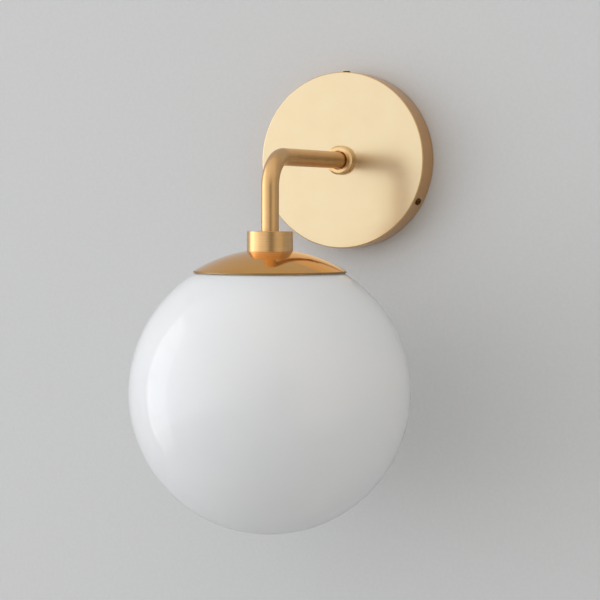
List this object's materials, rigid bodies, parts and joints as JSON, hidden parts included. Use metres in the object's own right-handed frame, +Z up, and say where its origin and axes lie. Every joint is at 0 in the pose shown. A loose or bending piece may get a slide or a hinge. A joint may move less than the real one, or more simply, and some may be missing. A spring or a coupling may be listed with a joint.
{
  "type": "globe wall sconce",
  "caption": "Wall light with a round satin brass backplate, a brass arm bent downwards, a turned cup, a polished dish and an opal glass globe that pulls off for changing the bulb.",
  "frame": {"origin": "centre of the backplate on the wall, midway between the two fixing slots of the wall bracket", "axes": "+Y points into the wall, the light stands out along -Y, +Z is up and +X is to the right of someone facing the wall"},
  "size_m": [0.2, 0.2445, 0.3356],
  "materials": {
    "satin_brass": "satin, fine brushed, clear lacquered",
    "polished_brass": "polished",
    "bronzed_screw": "blackened",
    "zinc_steel": "zinc plated",
    "raw_brass": "bright turned",
    "spring_steel": "bright rolled",
    "opal_glass": "glossy, blown",
    "soft_ring": "matte",
    "white_nylon": "moulded",
    "black_phenolic": "moulded",
    "white_porcelain": "unglazed",
    "brown_sleeve": "extruded",
    "blue_sleeve": "extruded",
    "green_sleeve": "extruded",
    "nickel_cap": "bright plated",
    "black_glass": "glossy",
    "bulb_plastic": "moulded",
    "bulb_opal": "frosted",
    "led_board": "white solder resist on aluminium"
  },
  "bodies": {
    "fixture": {"wall_bracket": "zinc_steel", "terminal_block": "white_nylon", "terminal_clamp_screws": "zinc_steel", "terminal_block_screws": "zinc_steel", "canopy": "satin_brass", "canopy_set_screws": "bronzed_screw", "arm_collar": "satin_brass", "arm_tube": "satin_brass", "canopy_nipple": "raw_brass", "earth_tag": "zinc_steel", "canopy_lock_washer": "zinc_steel", "canopy_lock_nut": "zinc_steel", "socket_cup": "satin_brass", "cup_nut": "zinc_steel", "socket_nipple": "raw_brass", "globe_dish": "polished_brass", "dish_gasket": "soft_ring", "clip_carrier": "zinc_steel", "globe_clip_springs": "spring_steel", "clip_rivets": "zinc_steel", "socket_lock_washer": "zinc_steel", "socket_lock_nut": "zinc_steel", "lampholder_cap": "black_phenolic", "lampholder_insert": "white_porcelain", "lampholder_skirt": "black_phenolic", "lampholder_screw_shell": "raw_brass", "lampholder_contact": "raw_brass", "lampholder_terminals": "raw_brass", "live_lead": "brown_sleeve", "neutral_lead": "blue_sleeve", "earth_lead": "green_sleeve"},
    "globe": {"globe": "opal_glass"},
    "bulb": {"bulb_contact": "raw_brass", "bulb_cap_insulator": "black_glass", "bulb_screw_cap": "nickel_cap", "bulb_housing": "bulb_plastic", "bulb_led_board": "led_board", "bulb_diffuser": "bulb_opal"}
  },
  "joints": [
    {"name": "globe_pull_off", "type": "slide", "parent": "fixture", "child": "globe", "axis": [0, 0, -1], "range_m": [0, 0.165], "deforming": ["globe_clip_springs"]},
    {"name": "bulb_take_out", "type": "slide", "parent": "fixture", "child": "bulb", "axis": [0, 0, -1], "range_m": [0, 0.028]}
  ]
}
